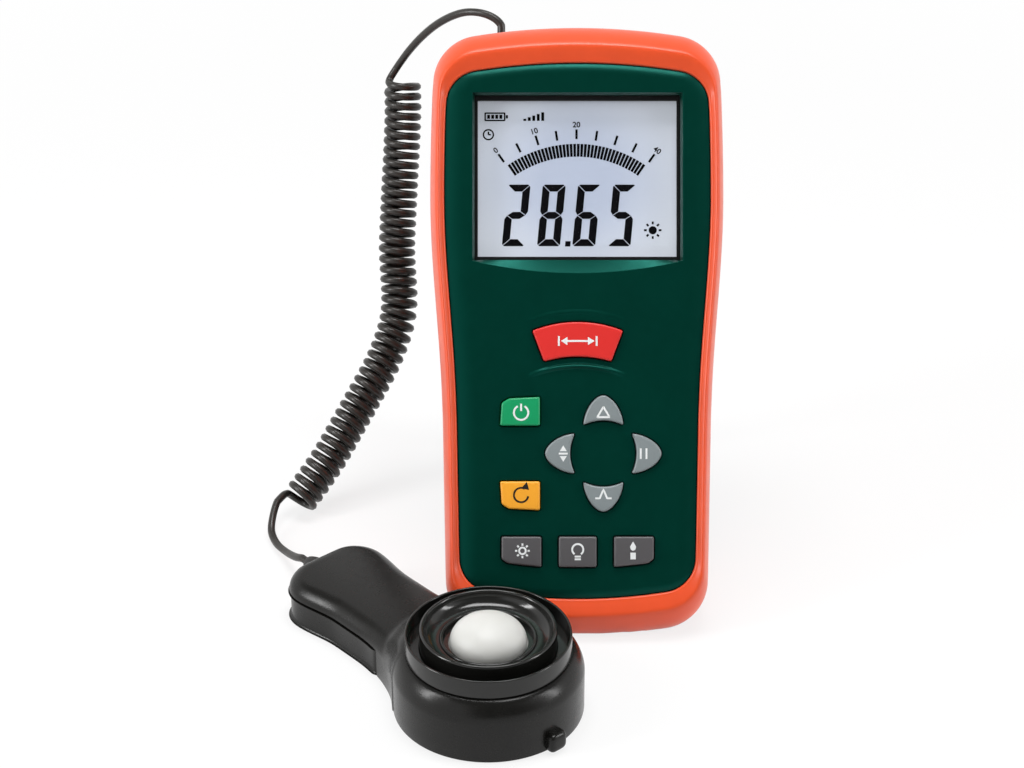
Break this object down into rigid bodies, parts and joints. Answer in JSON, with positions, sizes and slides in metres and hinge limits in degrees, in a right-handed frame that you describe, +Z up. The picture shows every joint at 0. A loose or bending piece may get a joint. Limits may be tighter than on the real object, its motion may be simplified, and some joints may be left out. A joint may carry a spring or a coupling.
{
  "type": "handheld light meter with remote sensor",
  "caption": "Handheld light meter in a rubber boot, leaning on its fold-out stand, with display, buttons and a domed light sensor on a curly cord.",
  "frame": {"origin": "on the bench, under the meter's middle line, on the boot's level sole", "axes": "+Z up, the meter's face looks towards -Y and leans back towards +Y, +X to the right of someone reading it"},
  "size_m": [0.116, 0.1604, 0.1314],
  "materials": {
    "boot_rubber": "satin",
    "case_plastic": "matte",
    "clear_lens": "gloss",
    "lcd_glass": "satin",
    "black_plastic": "gloss",
    "sensor_plastic": "satin",
    "white_panel": "satin",
    "diffuser": "satin",
    "board": "satin",
    "chip": "matte",
    "pad_rubber": "matte",
    "red_key": "satin",
    "green_key": "satin",
    "amber_key": "satin",
    "grey_key": "satin",
    "dark_key": "satin",
    "battery_wrap": "satin",
    "screw_steel": "satin",
    "cord_jacket": "satin",
    "filter_glass": "gloss",
    "photo_cell": "gloss"
  },
  "bodies": {
    "meter": {"holster": "boot_rubber", "front_case": "case_plastic", "rear_case": "case_plastic", "display_lens": "clear_lens", "display_bezel": "black_plastic", "lcd_panel": "lcd_glass", "lcd_contact_strip": "pad_rubber", "backlight_panel": "white_panel", "circuit_board": "board", "measuring_chip": "chip", "button_pad": "pad_rubber", "battery": "battery_wrap", "battery_snap": "black_plastic", "case_screw_1": "screw_steel", "case_screw_2": "screw_steel", "case_screw_3": "screw_steel", "case_screw_4": "screw_steel", "meter_gland": "black_plastic", "meter_lead": "cord_jacket", "cord_coil": "cord_jacket", "sensor_lead": "cord_jacket"},
    "range_button": {"range_button": "red_key"},
    "power_button": {"power_button": "green_key"},
    "reset_button": {"reset_button": "amber_key"},
    "relative_button": {"relative_button": "grey_key"},
    "max_min_button": {"max_min_button": "grey_key"},
    "peak_button": {"peak_button": "grey_key"},
    "hold_button": {"hold_button": "grey_key"},
    "backlight_button": {"backlight_button": "dark_key"},
    "lux_button": {"lux_button": "dark_key"},
    "footcandle_button": {"footcandle_button": "dark_key"},
    "battery_door": {"battery_door": "case_plastic", "battery_door_screw": "screw_steel"},
    "tilt_stand": {"tilt_stand": "black_plastic"},
    "sensor": {"sensor_cover": "sensor_plastic", "sensor_base": "sensor_plastic", "sensor_collar": "black_plastic", "diffuser_dome": "diffuser", "colour_filter": "filter_glass", "photo_cell": "photo_cell", "cell_board": "board", "sensor_screw_1": "screw_steel", "sensor_screw_2": "screw_steel", "sensor_gland": "black_plastic"}
  },
  "joints": [
    {"name": "range_press", "type": "slide", "parent": "meter", "child": "range_button", "axis": [0, 0.8746, -0.4848], "range_m": [0, 0.0006], "stiffness_N_per_m": 1500, "springref_m": -0.0002},
    {"name": "power_press", "type": "slide", "parent": "meter", "child": "power_button", "axis": [0, 0.8746, -0.4848], "range_m": [0, 0.0006], "stiffness_N_per_m": 1500, "springref_m": -0.0002},
    {"name": "reset_press", "type": "slide", "parent": "meter", "child": "reset_button", "axis": [0, 0.8746, -0.4848], "range_m": [0, 0.0006], "stiffness_N_per_m": 1500, "springref_m": -0.0002},
    {"name": "relative_press", "type": "slide", "parent": "meter", "child": "relative_button", "axis": [0, 0.8746, -0.4848], "range_m": [0, 0.0006], "stiffness_N_per_m": 1500, "springref_m": -0.0002},
    {"name": "max_min_press", "type": "slide", "parent": "meter", "child": "max_min_button", "axis": [0, 0.8746, -0.4848], "range_m": [0, 0.0006], "stiffness_N_per_m": 1500, "springref_m": -0.0002},
    {"name": "peak_press", "type": "slide", "parent": "meter", "child": "peak_button", "axis": [0, 0.8746, -0.4848], "range_m": [0, 0.0006], "stiffness_N_per_m": 1500, "springref_m": -0.0002},
    {"name": "hold_press", "type": "slide", "parent": "meter", "child": "hold_button", "axis": [0, 0.8746, -0.4848], "range_m": [0, 0.0006], "stiffness_N_per_m": 1500, "springref_m": -0.0002},
    {"name": "backlight_press", "type": "slide", "parent": "meter", "child": "backlight_button", "axis": [0, 0.8746, -0.4848], "range_m": [0, 0.0006], "stiffness_N_per_m": 1500, "springref_m": -0.0002},
    {"name": "lux_press", "type": "slide", "parent": "meter", "child": "lux_button", "axis": [0, 0.8746, -0.4848], "range_m": [0, 0.0006], "stiffness_N_per_m": 1500, "springref_m": -0.0002},
    {"name": "footcandle_press", "type": "slide", "parent": "meter", "child": "footcandle_button", "axis": [0, 0.8746, -0.4848], "range_m": [0, 0.0006], "stiffness_N_per_m": 1500, "springref_m": -0.0002},
    {"name": "battery_door_pull", "type": "slide", "parent": "meter", "child": "battery_door", "axis": [0, 0.8746, -0.4848], "range_m": [0, 0.012]},
    {"name": "stand_fold", "type": "hinge", "parent": "meter", "child": "tilt_stand", "pos_m": [0, 0.06098, 0.07205], "axis": [-1, 0, 0], "range_deg": [0, 43.8]},
    {"name": "sensor_pull", "type": "slide", "parent": "meter", "child": "sensor", "axis": [0, -1, 0], "range_m": [0, 0.1], "deforming": ["cord_coil", "sensor_lead"]}
  ]
}
